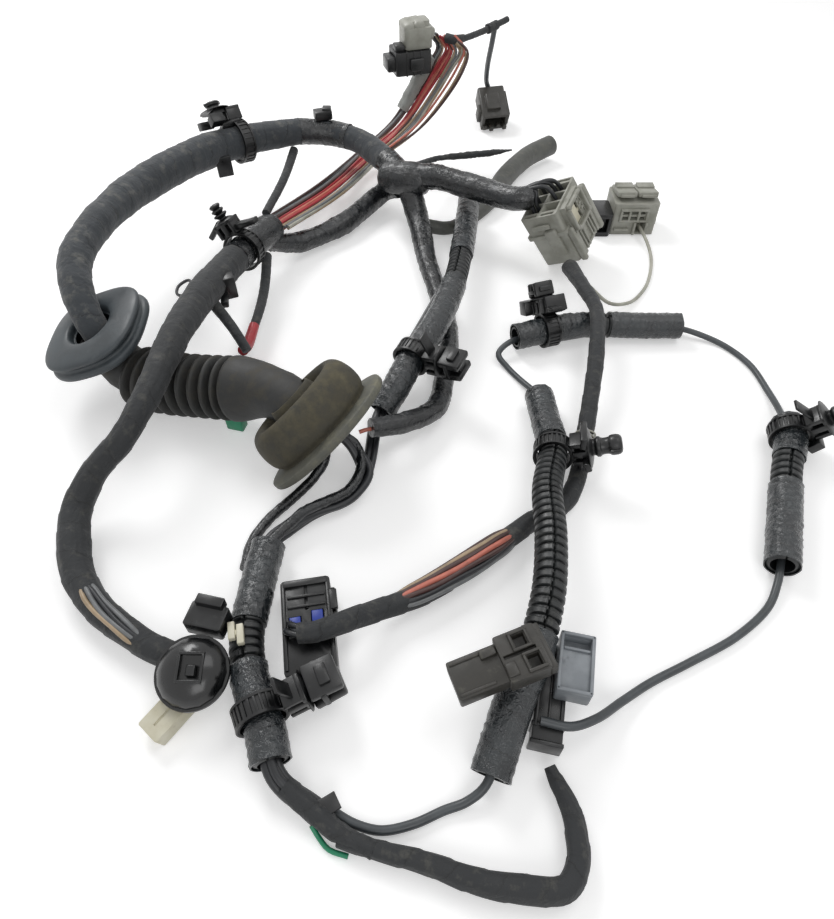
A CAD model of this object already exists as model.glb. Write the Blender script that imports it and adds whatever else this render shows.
# A vehicle wiring harness on a plain white table: taped trunks, split conduits, a rubber boot, plugs and clips.
from math import pi, radians, tau

import bmesh
import bpy
import numpy as np
from mathutils import Matrix, Vector


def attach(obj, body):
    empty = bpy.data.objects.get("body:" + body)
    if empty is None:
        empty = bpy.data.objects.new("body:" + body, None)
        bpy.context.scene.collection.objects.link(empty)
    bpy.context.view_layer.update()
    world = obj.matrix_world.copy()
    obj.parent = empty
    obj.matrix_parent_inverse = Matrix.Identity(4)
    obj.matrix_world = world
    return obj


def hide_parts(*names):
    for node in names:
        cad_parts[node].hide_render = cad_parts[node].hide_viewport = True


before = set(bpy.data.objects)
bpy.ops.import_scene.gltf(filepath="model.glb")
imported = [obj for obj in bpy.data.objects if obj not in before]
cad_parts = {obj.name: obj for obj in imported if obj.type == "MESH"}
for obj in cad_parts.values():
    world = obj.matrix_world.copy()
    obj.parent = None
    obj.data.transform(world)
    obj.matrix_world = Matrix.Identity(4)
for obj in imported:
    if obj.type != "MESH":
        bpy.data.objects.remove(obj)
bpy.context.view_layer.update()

# Everything is drawn in millimetres in the layout's own axes, then shifted and scaled to metres.
toMetres = Matrix.Scale(0.001, 4) @ Matrix.Translation((-7.7, 24.1, 0))
gap = 0.3  # the clearance that the solids' places include

# camera and light
view = {"place": (-0.0077, -0.2959, 0.250), "tilt": 40, "lens": 25.93}
camera = bpy.data.objects.new("camera", bpy.data.cameras.new("camera"))
camera.location = view["place"]
camera.rotation_euler = (radians(view["tilt"]), 0, 0)
camera.data.lens = view["lens"]
camera.data.clip_start = 0.01
bpy.context.collection.objects.link(camera)
bpy.context.scene.camera = camera
bpy.context.scene.view_settings.view_transform = "Standard"


def colour(hexValue):
    channels = [int(hexValue[i:i + 2], 16) / 255 for i in (1, 3, 5)]
    return tuple(c / 12.92 if c <= 0.04045 else ((c + 0.055) / 1.055) ** 2.4 for c in channels) + (1,)


def add(tree, kind, inputs=None, **settings):
    made = tree.nodes.new("ShaderNode" + kind)
    for key, value in settings.items():
        setattr(made, key, value)
    for socket, value in (inputs or {}).items():
        if isinstance(value, bpy.types.NodeSocket):
            tree.links.new(value, made.inputs[socket])
        else:
            made.inputs[socket].default_value = value
    return made


def emptyMaterial(name):
    material = bpy.data.materials.new(name)
    material.use_nodes = True
    material.node_tree.nodes.clear()
    return material, material.node_tree


def seenDirectly(tree):  # 1 for what the camera sees, also in a reflection or through glass, and 0 for lighting
    path = add(tree, "LightPath")
    seen = add(tree, "Math", {0: path.outputs["Is Camera Ray"], 1: path.outputs["Is Glossy Ray"]},
               operation="MAXIMUM")
    seen = add(tree, "Math", {0: seen.outputs[0], 1: path.outputs["Is Transmission Ray"]}, operation="MAXIMUM")
    return seen.outputs[0]


lightLevel = {"world": 0.42, "key": 4.6, "rim": 1.4, "side": 1.2}
world = bpy.data.worlds.new("room")
world.use_nodes = True
bpy.context.scene.world = world
world.node_tree.nodes.clear()
strength = add(world.node_tree, "Mix", {
    "Factor": seenDirectly(world.node_tree), "A": lightLevel["world"], "B": 1.0}, data_type="FLOAT")
room = add(world.node_tree, "Background", {"Color": (1, 1, 1, 1), "Strength": strength.outputs[0]})
add(world.node_tree, "OutputWorld", {"Surface": room.outputs[0]})
for name, power, size, place, aim in (
    ("windowLight", lightLevel["key"], 0.4, (-0.45, 0.62, 0.75), (0, 0.02, 0)),
    ("ceilingLight", lightLevel["rim"], 0.5, (0.35, 0.1, 0.85), (0, 0, 0)),
    ("frontLight", lightLevel["side"], 0.4, (0.1, -0.8, 0.55), (0, 0, 0)),
):
    lamp = bpy.data.objects.new(name, bpy.data.lights.new(name, "AREA"))
    lamp.data.size = size
    lamp.data.energy = power
    lamp.location = place
    lamp.rotation_euler = (Vector(aim) - Vector(place)).to_track_quat("-Z", "Y").to_euler()
    bpy.context.collection.objects.link(lamp)


# routes: the same smooth lines as the solids follow, with the radius at each point
line = {"perSpan": 40, "spacing": 0.6}


def routeOf(rows):
    p = np.array(rows, float)
    p = np.vstack([2 * p[0] - p[1], p, 2 * p[-1] - p[-2]])
    t = np.linspace(0, 1, line["perSpan"], endpoint=False)[:, None]
    curve = []
    for a, b, c, d in zip(p, p[1:], p[2:], p[3:]):
        da, db, dc = (np.linalg.norm(q) ** 0.5 for q in (b - a, c - b, d - c))
        ta = db * ((b - a) / da - (c - a) / (da + db) + (c - b) / db)
        tb = db * ((c - b) / db - (d - b) / (db + dc) + (d - c) / dc)
        curve.append(b + ta * t + (3 * (c - b) - 2 * ta - tb) * t ** 2 + (2 * (b - c) + ta + tb) * t ** 3)
    curve = np.vstack([*curve, p[-2]])
    run = np.concatenate([[0], np.cumsum(np.linalg.norm(np.diff(curve, axis=0), axis=1))])
    even = np.linspace(0, run[-1], int(run[-1] / line["spacing"]) + 3)
    place = np.stack([np.interp(even, run, curve[:, k]) for k in range(3)], 1)
    tangent = np.gradient(place, axis=0)
    tangent /= np.linalg.norm(tangent, axis=1)[:, None]
    side = np.cross(tangent[0], (0.0, 0.0, 1.0) if abs(tangent[0][2]) < 0.8 else (1.0, 0.0, 0.0))
    sides = []
    for now in tangent:
        side = side - now * side.dot(now)
        side /= np.linalg.norm(side)
        sides.append(side)
    return {"length": run[-1], "even": even, "place": place, "tangent": tangent, "side": np.array(sides),
            "knots": run[::line["perSpan"]], "count": len(rows)}


def readRoute(route, distance):
    inside = np.clip(distance, 0, route["length"])
    place, tangent, side = (
        np.stack([np.interp(inside, route["even"], route[key][:, k]) for k in range(3)], -1)
        for key in ("place", "tangent", "side"))
    return place + tangent * (distance - inside)[..., None], tangent, side, np.cross(tangent, side)


def radiusAt(route, radii, distance):
    share = np.interp(distance, route["knots"], np.linspace(0, 1, route["count"]))
    return np.interp(share * (len(radii) - 1), range(len(radii)), radii)


# shapes
def turned(bm, profile, steps):
    verts = [bm.verts.new((r, 0, h)) for r, h in profile]
    edges = [bm.edges.new(pair) for pair in zip(verts, verts[1:])]
    bmesh.ops.spin(bm, geom=verts + edges, axis=(0, 0, 1), angle=tau, steps=steps, use_merge=True)
    bmesh.ops.remove_doubles(bm, verts=bm.verts, dist=1e-4)


def block(bm, across, along, tall, at=(0, 0, 0), soft=0.4, turn=None):  # stands on at, as the solids' blocks do
    place = Matrix.Translation(at) @ (turn or Matrix()) @ Matrix.Translation((0, 0, tall / 2))
    made = bmesh.ops.create_cube(bm, size=1, matrix=place @ Matrix.Diagonal((across, along, tall, 1)))
    if soft:
        edges = list({edge for vert in made["verts"] for edge in vert.link_edges})
        bmesh.ops.bevel(bm, geom=edges, offset=min(soft, 0.3 * min(across, along, tall)), segments=2,
                        profile=0.5, affect="EDGES", material=-1)


def waves(distance, angle, size, seed, turns=4):  # smooth random relief from -1 to 1 that closes round the piece
    chance = np.random.default_rng(seed)
    total, level = 0, 4.2
    for _ in range(7):
        pace = tau / size * chance.uniform(0.4, 1.7)
        spin, phase = chance.integers(-turns, turns + 1), chance.uniform(0, tau)
        total = total + np.sin(distance * pace + angle * spin + phase)
    return total / level


def meshOf(bm, name, outward=True):
    if outward:
        bmesh.ops.recalc_face_normals(bm, faces=bm.faces)
    mesh = bpy.data.meshes.new(name)
    bm.to_mesh(mesh)
    bm.free()
    return mesh


def coordinates(mesh):
    co = np.empty(len(mesh.vertices) * 3)
    mesh.vertices.foreach_get("co", co)
    return co.reshape(-1, 3)


def layOut(mesh):  # UV map of a straight turned piece: distance along it in centimetres, and turns round it
    co = coordinates(mesh)
    corner = np.empty(len(mesh.loops), int)
    mesh.loops.foreach_get("vertex_index", corner)
    total = np.array([len(face.vertices) for face in mesh.polygons])
    centre = np.array([face.center[:] for face in mesh.polygons])
    faceTurn = np.repeat(np.arctan2(centre[:, 1], centre[:, 0]) / tau, total)
    turn = np.arctan2(co[:, 1], co[:, 0])[corner] / tau
    turn = np.where(np.hypot(co[:, 0], co[:, 1])[corner] < 1e-3, faceTurn, turn)
    turn += np.round(faceTurn - turn)
    uv = mesh.uv_layers.new(name="lay")
    uv.data.foreach_set("uv", np.stack([co[corner, 2] / 10, turn], 1).ravel())


def bend(mesh, route, relief=None):  # the height of a straight piece follows the route
    co = coordinates(mesh)
    radius, angle = np.hypot(co[:, 0], co[:, 1]), np.arctan2(co[:, 1], co[:, 0])
    distance = co[:, 2]
    if relief is not None:
        radius, angle = relief(distance, angle, radius)
    place, _, side, up = readRoute(route, distance)
    co = place + side * (radius * np.cos(angle))[:, None] + up * (radius * np.sin(angle))[:, None]
    mesh.vertices.foreach_set("co", co.ravel())
    mesh.update()


def swept(name, profile, steps, route, relief=None):  # a turned profile, bent along a route
    bm = bmesh.new()
    turned(bm, profile, steps)
    mesh = meshOf(bm, name)
    layOut(mesh)
    bend(mesh, route, relief)
    return mesh


def finishPiece(name, mesh, finish, nodes, sharp=40, matrix=None):
    mesh.transform(toMetres @ (matrix or Matrix()))
    mesh.shade_smooth()
    mesh.set_sharp_from_angle(angle=radians(sharp))
    mesh.materials.append(materials[finish])
    piece = bpy.data.objects.new(name, mesh)
    bpy.context.collection.objects.link(piece)
    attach(piece, "root")
    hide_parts(*nodes)
    return piece


def poseOf(at, facing, along):
    z = Vector(facing).normalized()
    x = Vector(along)
    x = (x - z * x.dot(z)).normalized()
    return Matrix.Translation(at) @ Matrix((x, z.cross(x), z)).transposed().to_4x4()


# materials
def surface(name, base, second, mottle, roughness, blend=0.7, vary=0.1, grain=0.35, grainDeep=0.015,
            crinkle=None, wrap=None, weave=None, dust=None, ior=1.5, coat=0.0, sheen=0.0):
    material, tree = emptyMaterial(name)
    place = add(tree, "TexCoord")
    millimetres = add(tree, "VectorMath", {0: place.outputs["Object"], 1: (1000, 1000, 1000)},
                      operation="MULTIPLY")
    at = millimetres.outputs[0]
    patches = add(tree, "TexNoise", {"Vector": at, "Scale": 1 / mottle, "Detail": 4.0, "Roughness": 0.6})
    mix = add(tree, "MapRange", {"Value": patches.outputs["Fac"], "From Min": 0.38, "From Max": 0.66})
    share = add(tree, "Math", {0: mix.outputs[0], 1: blend}, operation="MULTIPLY")
    tint = add(tree, "Mix", {"Factor": share.outputs[0], "A": colour(base), "B": colour(second)},
               data_type="RGBA")
    fine = add(tree, "TexNoise", {"Vector": at, "Scale": 1 / grain, "Detail": 3.0, "Roughness": 0.7})
    rough = add(tree, "MapRange", {"Value": patches.outputs["Fac"], "From Min": 0.3, "From Max": 0.7,
                                   "To Min": max(roughness - vary, 0.05), "To Max": min(roughness + vary, 1.0)})
    bump = add(tree, "Bump", {"Height": fine.outputs["Fac"], "Distance": grainDeep * 0.001, "Strength": 1.0})
    tintOut, roughOut = tint.outputs["Result"], rough.outputs[0]
    if crinkle:
        size, deep = crinkle
        fold = add(tree, "TexNoise", {"Vector": at, "Scale": 1 / size, "Detail": 3.0, "Roughness": 0.55,
                                      "Distortion": 0.6})
        middle = add(tree, "Math", {0: fold.outputs["Fac"], 1: 0.5}, operation="SUBTRACT")
        crease = add(tree, "Math", {0: middle.outputs[0]}, operation="ABSOLUTE")
        bump = add(tree, "Bump", {"Height": crease.outputs[0], "Distance": deep * 0.002,
                                  "Normal": bump.outputs[0]})
    if wrap:
        pitch, deep, edge = wrap
        lay = add(tree, "UVMap", uv_map="lay")
        parts = add(tree, "SeparateXYZ", {0: lay.outputs[0]})
        turn = add(tree, "Math", {0: parts.outputs[0], 1: 10 / pitch, 2: parts.outputs[1]},
                   operation="MULTIPLY_ADD")
        wobble = add(tree, "Math", {0: patches.outputs["Fac"], 1: 0.9, 2: turn.outputs[0]},
                     operation="MULTIPLY_ADD")
        tooth = add(tree, "Math", {0: wobble.outputs[0]}, operation="FRACT")
        bump = add(tree, "Bump", {"Height": tooth.outputs[0], "Distance": deep * 0.001,
                                  "Normal": bump.outputs[0]})
        lip = add(tree, "MapRange", {"Value": tooth.outputs[0], "From Min": 0.9, "From Max": 1.0})
        tint = add(tree, "Mix", {"Factor": lip.outputs[0], "A": tintOut, "B": colour(edge)}, data_type="RGBA")
        tintOut = tint.outputs["Result"]
    if weave:
        pitch, deep = weave
        lay = add(tree, "UVMap", uv_map="lay")
        threads = add(tree, "VectorMath", {0: lay.outputs[0], 1: (10 / pitch, 40 / pitch, 1)},
                      operation="MULTIPLY")
        parts = add(tree, "SeparateXYZ", {0: threads.outputs[0]})
        warp = add(tree, "Math", {0: parts.outputs[0], 1: 1.0}, operation="PINGPONG")
        weft = add(tree, "Math", {0: parts.outputs[1], 1: 1.0}, operation="PINGPONG")
        cloth = add(tree, "Math", {0: warp.outputs[0], 1: weft.outputs[0]}, operation="MULTIPLY")
        bump = add(tree, "Bump", {"Height": cloth.outputs[0], "Distance": deep * 0.001,
                                  "Normal": bump.outputs[0]})
    if dust:
        hexDust, size, low, high = dust
        facing = add(tree, "NewGeometry")
        up = add(tree, "SeparateXYZ", {0: facing.outputs["Normal"]})
        lying = add(tree, "TexNoise", {"Vector": at, "Scale": 1 / size, "Detail": 6.0, "Roughness": 0.65})
        ramp = add(tree, "MapRange", {"Value": lying.outputs["Fac"], "From Min": low, "From Max": high})
        onTop = add(tree, "MapRange", {"Value": up.outputs[2], "From Min": -0.3, "From Max": 0.9})
        amount = add(tree, "Math", {0: ramp.outputs[0], 1: onTop.outputs[0]}, operation="MULTIPLY")
        tint = add(tree, "Mix", {"Factor": amount.outputs[0], "A": tintOut, "B": colour(hexDust)},
                   data_type="RGBA")
        tintOut = tint.outputs["Result"]
        dull = add(tree, "Mix", {"Factor": amount.outputs[0], "A": roughOut, "B": 0.9}, data_type="FLOAT")
        roughOut = dull.outputs[0]
    shader = add(tree, "BsdfPrincipled", {
        "Base Color": tintOut, "Roughness": roughOut, "Normal": bump.outputs[0], "IOR": ior,
        "Coat Weight": coat, "Coat Roughness": 0.12, "Sheen Weight": sheen, "Sheen Roughness": 0.5})
    add(tree, "OutputMaterial", {"Surface": shader.outputs[0]})
    return material


materials = {
    # woven polyester harness tape: dull grey-black, dusty, every turn's edge shows
    "clothTape": surface(
        "wovenClothTape", "#1f2123", "#343638", mottle=14, roughness=0.74, vary=0.12, grain=0.5,
        grainDeep=0.08, crinkle=(7, 0.5), wrap=(14, 0.3, "#17191a"), weave=(1.1, 0.05),
        dust=("#5f5e59", 6, 0.54, 0.82), sheen=0.1),
    # grey fleece tape on the trunk that flexes: matt blue-grey, soft, worn paler on top
    "fleeceTape": surface(
        "greyFleeceTape", "#33373b", "#484c50", mottle=16, roughness=0.88, vary=0.08, grain=0.6,
        grainDeep=0.1, crinkle=(8, 0.4), wrap=(16, 0.25, "#2b2e31"), weave=(1.2, 0.06),
        dust=("#74736d", 6, 0.52, 0.8), sheen=0.25),
    # soft PVC tape over the looms: greyer with dust, drawn tight so that it sparkles along its small creases
    "loomTape": surface(
        "tightPvcTape", "#1b1f22", "#2f3538", mottle=13, roughness=0.2, vary=0.08, grain=0.4,
        crinkle=(2.4, 0.6), wrap=(12, 0.2, "#101315"), dust=("#5c6162", 7, 0.66, 0.98), ior=1.52, coat=0.2),
    # soft PVC tape: dark blue-black, glossy where it is stretched, creased where it turns
    "vinylTape": surface(
        "softPvcTape", "#0f1113", "#202428", mottle=12, roughness=0.26, vary=0.12, grain=0.4, grainDeep=0.02,
        crinkle=(2.8, 0.5), wrap=(12, 0.3, "#0c0e0f"), dust=("#5f6265", 7, 0.62, 0.95), ior=1.52, coat=0.15),
    # extruded polypropylene loom: satin black that greys with handling
    "conduit": surface(
        "blackPolypropylene", "#151718", "#2a2d2e", mottle=9, blend=0.6, roughness=0.38, vary=0.12,
        grainDeep=0.02, dust=("#62635f", 4, 0.55, 0.88)),
    # moulded EPDM rubber: matt charcoal, road dust in its hollows and on its upper faces
    "rubber": surface(
        "mouldedEpdm", "#1e1f1f", "#302f2c", mottle=16, roughness=0.62, grain=0.6, grainDeep=0.03,
        crinkle=(11, 0.2), dust=("#4d483c", 9, 0.5, 0.82)),
    # the same rubber on the bell: olive-brown with dried road dust, darker where it was rubbed
    "dustyRubber": surface(
        "dustyEpdm", "#34322a", "#4f4a3a", mottle=13, blend=0.8, roughness=0.7, grain=0.7, grainDeep=0.05,
        crinkle=(9, 0.3), dust=("#6b6550", 8, 0.46, 0.8)),
    # the same rubber on the small cap: smooth, cool grey with a soft shine
    "capRubber": surface(
        "smoothEpdm", "#2f3539", "#454c50", mottle=15, roughness=0.46, grain=0.6, grainDeep=0.02,
        crinkle=(14, 0.12), dust=("#5e6264", 8, 0.55, 0.85)),
    # the rim of the bell: rubber rubbed pale grey
    "rimRubber": surface(
        "rubbedEpdm", "#55564f", "#6d6c62", mottle=12, blend=0.8, roughness=0.62, grain=0.6, grainDeep=0.04,
        dust=("#86836f", 7, 0.5, 0.8)),
    # glass-filled nylon: black with a fine even gloss
    "blackPlastic": surface(
        "blackNylon", "#0a0b0c", "#151618", mottle=7, blend=0.5, roughness=0.34,
        dust=("#4c4c4a", 4, 0.62, 0.95)),
    # polished nylon cap: deep black with sharp window reflections
    "capBlack": surface(
        "polishedNylon", "#090a0b", "#131416", mottle=7, blend=0.5, roughness=0.24, vary=0.06,
        grainDeep=0.008, coat=0.15),
    # moulded PBT: warm light grey, satin, grime in the corners
    "greyPlastic": surface(
        "greyPbt", "#a2a299", "#86867b", mottle=10, roughness=0.46, dust=("#5f5f55", 5, 0.58, 0.85)),
    # painted-looking PBT of the small cover: cool light grey
    "coverPlastic": surface(
        "coolGreyPbt", "#8d9297", "#767b80", mottle=9, blend=0.6, roughness=0.4, grainDeep=0.012,
        dust=("#55585a", 5, 0.6, 0.9)),
    # moulded PBT, dark brown-grey
    "darkPlastic": surface(
        "darkPbt", "#35332f", "#24231f", mottle=8, blend=0.6, roughness=0.44, dust=("#6b6a60", 5, 0.58, 0.9)),
    # smooth tubing of the short stub: worn mid-grey vinyl, satin
    "stubPlastic": surface(
        "wornVinylTube", "#474845", "#5f605b", mottle=10, roughness=0.5, grain=0.4, grainDeep=0.02,
        crinkle=(12, 0.2), dust=("#7c7b70", 6, 0.52, 0.85)),
    # natural nylon: warm off-white, slightly yellowed
    "whitePlastic": surface(
        "naturalNylon", "#dcd8c4", "#c3bca2", mottle=8, blend=0.6, roughness=0.45,
        dust=("#9b957f", 4, 0.6, 0.9)),
    # coloured nylon of the plug's two locks: strong blue, satin
    "bluePlastic": surface(
        "blueNylon", "#2340a8", "#1a2f80", mottle=4, blend=0.5, roughness=0.4, vary=0.08, grainDeep=0.01),
    # a pale grey cloth sleeve round part of the open wires: matt, creased
    "greySleeve": surface(
        "greyClothSleeve", "#a3a5a2", "#8a8c86", mottle=8, blend=0.6, roughness=0.85, vary=0.08, grain=0.5,
        grainDeep=0.08, crinkle=(6, 0.5), dust=("#5f5f5a", 5, 0.55, 0.85), sheen=0.15),
}
jackets = {  # PVC wire insulation: smooth, satin, slightly soiled
    "greyJacket": ("#3d4144", "#53585b"), "whiteJacket": ("#b9b8ac", "#8f8e82"),
    "greenJacket": ("#1f8f66", "#1a6f52"), "redJacket": ("#b8383f", "#8d2f34"),
    "salmonJacket": ("#d07a68", "#a65f52"), "beigeJacket": ("#b39d80", "#8a7861"),
    "brownJacket": ("#4a302c", "#33201e"), "greyWire": ("#7d7f80", "#5a5c5e"),
    "blackJacket": ("#1d1f22", "#2c2e32"),
}
for name, (base, second) in jackets.items():
    materials[name] = surface(
        name + "Pvc", base, second, mottle=9, blend=0.6, roughness=0.4, grain=0.4, grainDeep=0.01,
        dust=("#55544f", 3, 0.6, 0.9))
# the slot of each finish
print("camera, light and materials ready")


# tubes: taped bundles, leads and wires along the routes
def tube(name, rows, radii, finish, nodes, sides=24, step=1.5, relief=None):
    route = routeOf(rows)
    heights = np.linspace(0, route["length"], max(4, int(route["length"] / step)) + 1)
    profile = [(0, 0), *zip(radiusAt(route, radii, heights), heights), (0, route["length"])]
    return finishPiece(name, swept(name, profile, sides, route, relief), finish, nodes, 60)


def tapedRelief(seed, wires=9, wireDeep=0.28, wrap=11, wrapDeep=0.3, lump=0.035, crease=0.0):
    def relief(distance, angle, radius):
        body = 1 + lump * waves(distance, angle, 42, seed, 2) - lump
        between = angle * wires + distance * 0.045 + 1.3 * waves(distance, 0, 60, seed + 1)
        strands = wireDeep * (np.abs(np.sin(between / 2)) - 0.7)
        turns = distance / wrap + angle / tau + 0.35 * waves(distance, 0, 70, seed + 2, 0)
        tape = wrapDeep * (turns % 1.0 - 1.0)
        folds = -crease * np.abs(waves(distance, angle, 6, seed + 3, 7))
        return np.where(radius < 0.05, radius, radius * body + strands + tape + folds), angle
    return relief


leadRoutes = {
    "sensorLead": [
        [-28, -267.5, 1.8], [-21, -271, 1.8], [-12, -273, 1.8], [-1, -271, 1.8], [9, -267, 1.8], [17, -264.5, 3],
        [23.5, -260, 5.6], [28, -250, 8.4], [33.7, -236, 10.9], [42.5, -219, 16.3], [50.5, -196, 19.8],
        [54.8, -170, 20.3], [57, -144, 17.3], [64, -116, 12.3], [64, -93, 7.9], [63.5, -73, 5.8],
        [61.5, -65, 3.6], [56, -55, 1.9], [50, -45, 1.9], [45.5, -37, 4.4], [52, -30.5, 7.5], [66, -25, 7.6],
        [82, -20, 7.6], [105, -16, 6.1], [128, -16, 5.3], [151, -16, 5.4], [159, -17, 4], [175, -26, 1.8],
        [185, -43, 1.8], [188, -64, 1.9], [187, -80, 4.6], [184.5, -92, 7.5], [181, -108, 7.5],
        [174, -123, 6.6], [165, -147, 5.2], [154.5, -174, 5.3], [151, -182, 3.4], [145, -191, 1.8],
        [128, -204, 1.8], [106, -215, 1.8], [89, -223, 1.9], [76, -231, 4.4], [64, -239, 9.4],
        [54, -242.5, 11.8], [43.5, -240.5, 12.2]],
    "topLead": [[57, 236, 80.2], [56.4, 240, 70], [55.6, 250, 54], [56.2, 262, 40], [57.6, 271.5, 31],
                [60, 275.6, 24.6]],
    "whiteLead": [[151.5, 99.2, 5.6], [151.8, 90, 6.2], [153.6, 76, 4.6], [154, 62, 1.8], [148, 40, 1.5],
                  [141, 26, 1.5], [129, 12, 2.8], [114, 5, 8], [101.4, 9, 17]],
    "greenWire": [[-35, -271.8, 3.6], [-32.5, -275, 1.4], [-29, -278.4, 1.2], [-22.5, -280.4, 1.2]],
}


def cordPath(rows):
    route = routeOf(rows)
    places = readRoute(route, np.linspace(0, route["length"], max(15, int(route["length"] / 5))))[0]
    return [tuple(toMetres @ Vector(place)) for place in places]


for name, finish, radius, node in (
    ("sensorLead", "greyJacket", 1.65, "sensor_lead"), ("topLead", "greyJacket", 2.0, "top_lead"),
    ("whiteLead", "whiteJacket", 1.1, "white_lead"), ("greenWire", "greenJacket", 0.9, "green_wire"),
):
    tube(name, leadRoutes[name], [radius, radius], finish, (node,), sides=16, step=1.6)
    print(name, round(routeOf(leadRoutes[name])["length"], 1), "mm")

# trunks and branches
upperRoute = [
    [-10, 110, 32], [-22, 130, 34], [-46, 156, 37], [-75, 160, 40], [-109, 141, 44], [-137, 113, 48],
    [-161, 67, 52], [-172, 29, 55], [-176, -1, 56], [-176, -24, 54], [-169, -45, 47]]
bootRoute = [
    [-161, -57, 36], [-158, -58, 27], [-152, -62, 20], [-144, -67, 17], [-130, -73, 17], [-110, -79, 20],
    [-88, -85, 24], [-76, -90, 28], [-66, -97, 32], [-58, -103, 33.5], [-51, -108.5, 31.5], [-45.6, -111.5, 28]]
leftRoute = [
    [-81, -218, 7.5], [-96, -214, 7.5], [-115, -204, 8], [-129, -194, 8.5], [-140, -181, 9], [-146, -166, 11],
    [-149, -150, 14], [-143, -137, 22], [-129, -126, 34], [-121, -107, 41], [-117, -72, 44], [-113, -26, 38],
    [-106, 14, 31], [-100, 39, 27]]
bundles = {
    "upperTrunk": {
        "node": "trunk_upper", "route": upperRoute + bootRoute, "finish": "fleeceTape", "wires": 11,
        "radii": [8.6, 8.8, 8.6, 8.4, 9.8, 11, 10.6, 9.6, 8.8, 8.6, 8.2] + [7.4] * 12},
    "leftTrunk": {
        "node": "trunk_left", "route": leftRoute, "finish": "clothTape", "wires": 9,
        "radii": [5.2, 5.6, 5.8, 6.4, 7, 7.2, 6.8, 6.2, 6, 6.3, 7.6, 8.8, 9, 8.6]},
    "returnBranch": {
        "node": "return_branch",
        "route": [[-12, 110, 24], [-23, 127, 13], [-49, 92, 9], [-76, 68, 9.5], [-93, 54, 18]],
        "finish": "vinylTape", "wires": 8, "radii": [7, 7.6, 7.6, 7.2, 6.4], "lump": 0.06, "crease": 0.7},
    "connectorBranch": {
        "node": "connector_branch",
        "route": [[-8, 108, 33], [15, 99, 37], [46, 76, 39], [63, 63, 42], [71, 62.5, 43.6]],
        "finish": "vinylTape", "wires": 9, "radii": [9, 8.8, 8.4, 8, 7.4], "lump": 0.07, "crease": 0.8},
    "centreBranch": {
        "node": "centre_branch", "finish": "vinylTape", "wires": 7,
        "route": [[-6, 108, 28], [1, 89, 13], [6, 52, 8], [12, 18, 7.2], [18, -20, 7], [15, -56, 7], [9, -84, 9],
                  [-8, -100, 15], [-22, -106, 18]],
        "radii": [8.6, 7.8, 6.8, 6.2, 6, 6, 5.8, 5.6, 5.2]},
    "stubBranch": {
        "node": "conduit_stub", "finish": "stubPlastic", "wires": 0,
        "route": [[2, 91, 8], [23, 93, 5], [50, 122, 7], [64, 153, 9], [85, 185, 10], [104, 202, 11]],
        "radii": [4.8, 4.6, 6.2, 7.4, 7.6, 7.6]},
    "crossBranch": {
        "node": "cross_branch", "finish": "clothTape", "wires": 6,
        "route": [[-45, -210, 17], [-38, -209, 17], [-27, -204, 15.4], [-16, -197, 10], [1, -188, 6.4],
                  [22, -174, 6], [36, -163, 5.6], [51, -151, 5.2], [68, -140, 5.2], [77, -122, 5.2],
                  [82, -104, 7], [88, -81, 12], [95, -51, 18.6], [100, -18, 20.7], [97, 8, 18], [93, 30, 16]],
        "radii": [4.2, 4.4, 4.6, 4.8, 5.2, 5.6, 5.4, 4.8, 4.7, 4.6, 4.5, 4.5, 4.4, 4.2, 4.4, 5.2]},
    "lampBranch": {
        "node": "lamp_branch", "finish": "clothTape", "wires": 5,
        "route": [[-26, -276, 3.4], [-9, -280, 4.4], [4, -283, 4.6], [20, -288, 5], [35, -290, 5.4],
                  [46, -290, 5.6], [51, -284, 5.6], [52, -274, 5.4], [51, -266, 5], [48, -259, 5],
                  [46, -254, 6]],
        "radii": [2.6, 3.4, 3.8, 4.2, 4.6, 4.4, 4.2, 4, 3.6, 3, 2.2]},
    "upperSpur": {"node": "spur_branch_upper", "route": [[-87, 148, 32], [-89, 112, 31], [-94, 62, 33]],
                  "finish": "clothTape", "wires": 4, "radii": [3.2, 2.6]},
    "lowerSpur": {"node": "spur_branch_lower", "finish": "clothTape", "wires": 4, "radii": [3.2, 2.6],
                  "route": [[-93, 40, 17], [-91, 20, 15.5], [-90, 0, 15], [-91, -22, 14], [-94, -36, 11]]},
    "sideSpur": {"node": "spur_branch_side", "route": [[-109, -28, 32], [-98, -40, 25], [-90, -50, 18]],
                 "finish": "clothTape", "wires": 4, "radii": [3.2, 2.6]},
    "bootLeadInner": {"node": "boot_lead_1", "finish": "vinylTape", "wires": 3, "radii": [2.6, 2.6],
                      "route": [[-42, -113, 25], [-35, -112, 20], [-29, -114, 15.4], [-26, -125, 12.4],
                                [-31, -137, 10.4], [-42, -144, 10.2], [-50, -149, 10.4], [-58, -157, 8.6],
                                [-63.6, -164, 8.2]]},
    "bootLeadOuter": {"node": "boot_lead_2", "finish": "vinylTape", "wires": 3, "radii": [2.6, 2.6],
                      "route": [[-42, -117, 22], [-43, -122, 14], [-48, -128, 8.4], [-57, -136, 3.6],
                                [-67, -148, 3], [-72.6, -160, 3], [-73.6, -174, 3]]},
    "topBranch": {"node": "top_branch", "route": [[27.7, 202.4, 83.4], [46, 224, 82], [67, 245, 84]],
                  "finish": "clothTape", "wires": 3, "radii": [2.2, 2.2]},
}
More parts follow.
